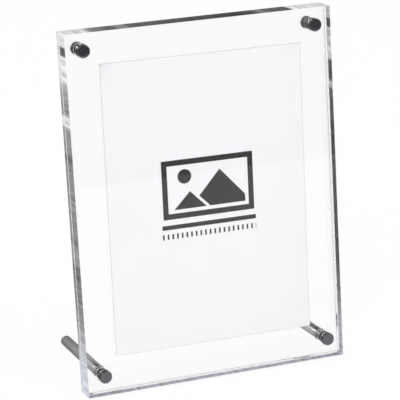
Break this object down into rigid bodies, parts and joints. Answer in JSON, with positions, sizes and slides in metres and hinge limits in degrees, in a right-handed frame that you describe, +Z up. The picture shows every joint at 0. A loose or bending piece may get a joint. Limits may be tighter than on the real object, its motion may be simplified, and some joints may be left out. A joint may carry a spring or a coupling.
{
  "type": "acrylic photo frame",
  "caption": "Leaning desk frame of two clear sheets that hold a printed card, clamped by round caps at the corners and propped on round metal legs behind.",
  "frame": {"origin": "middle of the outer box, on the surface that the frame stands on", "axes": "+Z up, -Y the way that the picture faces, +X to the right of someone who looks at the picture"},
  "size_m": [0.167, 0.082, 0.2199],
  "materials": {
    "clear_acrylic": "clear cast acrylic with polished edges",
    "card": "smooth printed photo card",
    "cap_metal": "dark polished plating",
    "leg_metal": "polished plating, finely turned",
    "thread_steel": "plain cut thread",
    "clear_washer": "clear soft plastic"
  },
  "bodies": {
    "rear_sheet": {"rear_sheet": "clear_acrylic"},
    "front_sheet": {"front_sheet": "clear_acrylic"},
    "photo_insert": {"photo_insert": "card"},
    "front_washer_upper_left": {"front_washer_upper_left": "clear_washer"},
    "cap_upper_left": {"cap_upper_left": "cap_metal"},
    "rear_washer_upper_left": {"rear_washer_upper_left": "clear_washer"},
    "rear_screw_upper_left": {"rear_screw_upper_left": "leg_metal"},
    "front_washer_upper_right": {"front_washer_upper_right": "clear_washer"},
    "cap_upper_right": {"cap_upper_right": "cap_metal"},
    "rear_washer_upper_right": {"rear_washer_upper_right": "clear_washer"},
    "rear_screw_upper_right": {"rear_screw_upper_right": "leg_metal"},
    "front_washer_lower_left": {"front_washer_lower_left": "clear_washer"},
    "cap_lower_left": {"cap_lower_left": "cap_metal"},
    "rear_washer_lower_left": {"rear_washer_lower_left": "clear_washer"},
    "leg_left": {"leg_left": "leg_metal", "leg_stud_left": "thread_steel"},
    "front_washer_lower_right": {"front_washer_lower_right": "clear_washer"},
    "cap_lower_right": {"cap_lower_right": "cap_metal"},
    "rear_washer_lower_right": {"rear_washer_lower_right": "clear_washer"},
    "leg_right": {"leg_right": "leg_metal", "leg_stud_right": "thread_steel"}
  },
  "joints": [
    {"name": "front_sheet_off", "type": "slide", "parent": "rear_sheet", "child": "front_sheet", "axis": [0, -0.9906, 0.1366], "range_m": [0, 0.03]},
    {"name": "insert_lift", "type": "slide", "parent": "rear_sheet", "child": "photo_insert", "axis": [0, 0.1366, 0.9906], "range_m": [0, 0.2]},
    {"name": "cap_upper_left_travel", "type": "slide", "parent": "front_sheet", "child": "front_washer_upper_left", "axis": [0, -0.9906, 0.1366], "range_m": [0, 0.007]},
    {"name": "cap_upper_left_turn", "type": "hinge", "parent": "front_washer_upper_left", "child": "cap_upper_left", "pos_m": [-0.0727, -0.01108, 0.2094], "axis": [0, -0.9906, 0.1366], "range_deg": [0, 3600]},
    {"name": "rear_screw_upper_left_travel", "type": "slide", "parent": "rear_sheet", "child": "rear_washer_upper_left", "axis": [0, 0.9906, -0.1366], "range_m": [0, 0.007]},
    {"name": "rear_screw_upper_left_turn", "type": "hinge", "parent": "rear_washer_upper_left", "child": "rear_screw_upper_left", "pos_m": [-0.0727, 0.004, 0.20732], "axis": [0, 0.9906, -0.1366], "range_deg": [0, 3600]},
    {"name": "cap_upper_right_travel", "type": "slide", "parent": "front_sheet", "child": "front_washer_upper_right", "axis": [0, -0.9906, 0.1366], "range_m": [0, 0.007]},
    {"name": "cap_upper_right_turn", "type": "hinge", "parent": "front_washer_upper_right", "child": "cap_upper_right", "pos_m": [0.0727, -0.01108, 0.2094], "axis": [0, -0.9906, 0.1366], "range_deg": [0, 3600]},
    {"name": "rear_screw_upper_right_travel", "type": "slide", "parent": "rear_sheet", "child": "rear_washer_upper_right", "axis": [0, 0.9906, -0.1366], "range_m": [0, 0.007]},
    {"name": "rear_screw_upper_right_turn", "type": "hinge", "parent": "rear_washer_upper_right", "child": "rear_screw_upper_right", "pos_m": [0.0727, 0.004, 0.20732], "axis": [0, 0.9906, -0.1366], "range_deg": [0, 3600]},
    {"name": "cap_lower_left_travel", "type": "slide", "parent": "front_sheet", "child": "front_washer_lower_left", "axis": [0, -0.9906, 0.1366], "range_m": [0, 0.007]},
    {"name": "cap_lower_left_turn", "type": "hinge", "parent": "front_washer_lower_left", "child": "cap_lower_left", "pos_m": [-0.0727, -0.03801, 0.01415], "axis": [0, -0.9906, 0.1366], "range_deg": [0, 3600]},
    {"name": "leg_left_travel", "type": "slide", "parent": "rear_sheet", "child": "rear_washer_lower_left", "axis": [0, 0.9906, -0.1366], "range_m": [0, 0.007]},
    {"name": "leg_left_turn", "type": "hinge", "parent": "rear_washer_lower_left", "child": "leg_left", "pos_m": [-0.0727, -0.02294, 0.01207], "axis": [0, 0.9906, -0.1366], "range_deg": [0, 3600]},
    {"name": "cap_lower_right_travel", "type": "slide", "parent": "front_sheet", "child": "front_washer_lower_right", "axis": [0, -0.9906, 0.1366], "range_m": [0, 0.007]},
    {"name": "cap_lower_right_turn", "type": "hinge", "parent": "front_washer_lower_right", "child": "cap_lower_right", "pos_m": [0.0727, -0.03801, 0.01415], "axis": [0, -0.9906, 0.1366], "range_deg": [0, 3600]},
    {"name": "leg_right_travel", "type": "slide", "parent": "rear_sheet", "child": "rear_washer_lower_right", "axis": [0, 0.9906, -0.1366], "range_m": [0, 0.007]},
    {"name": "leg_right_turn", "type": "hinge", "parent": "rear_washer_lower_right", "child": "leg_right", "pos_m": [0.0727, -0.02294, 0.01207], "axis": [0, 0.9906, -0.1366], "range_deg": [0, 3600]}
  ],
  "couplings": [
    {"joint": "cap_upper_left_turn", "follows": "cap_upper_left_travel", "rad_per_m": 8975.9},
    {"joint": "rear_screw_upper_left_turn", "follows": "rear_screw_upper_left_travel", "rad_per_m": 8975.9},
    {"joint": "cap_upper_right_turn", "follows": "cap_upper_right_travel", "rad_per_m": 8975.9},
    {"joint": "rear_screw_upper_right_turn", "follows": "rear_screw_upper_right_travel", "rad_per_m": 8975.9},
    {"joint": "cap_lower_left_turn", "follows": "cap_lower_left_travel", "rad_per_m": 8975.9},
    {"joint": "leg_left_turn", "follows": "leg_left_travel", "rad_per_m": 8975.9},
    {"joint": "cap_lower_right_turn", "follows": "cap_lower_right_travel", "rad_per_m": 8975.9},
    {"joint": "leg_right_turn", "follows": "leg_right_travel", "rad_per_m": 8975.9}
  ]
}
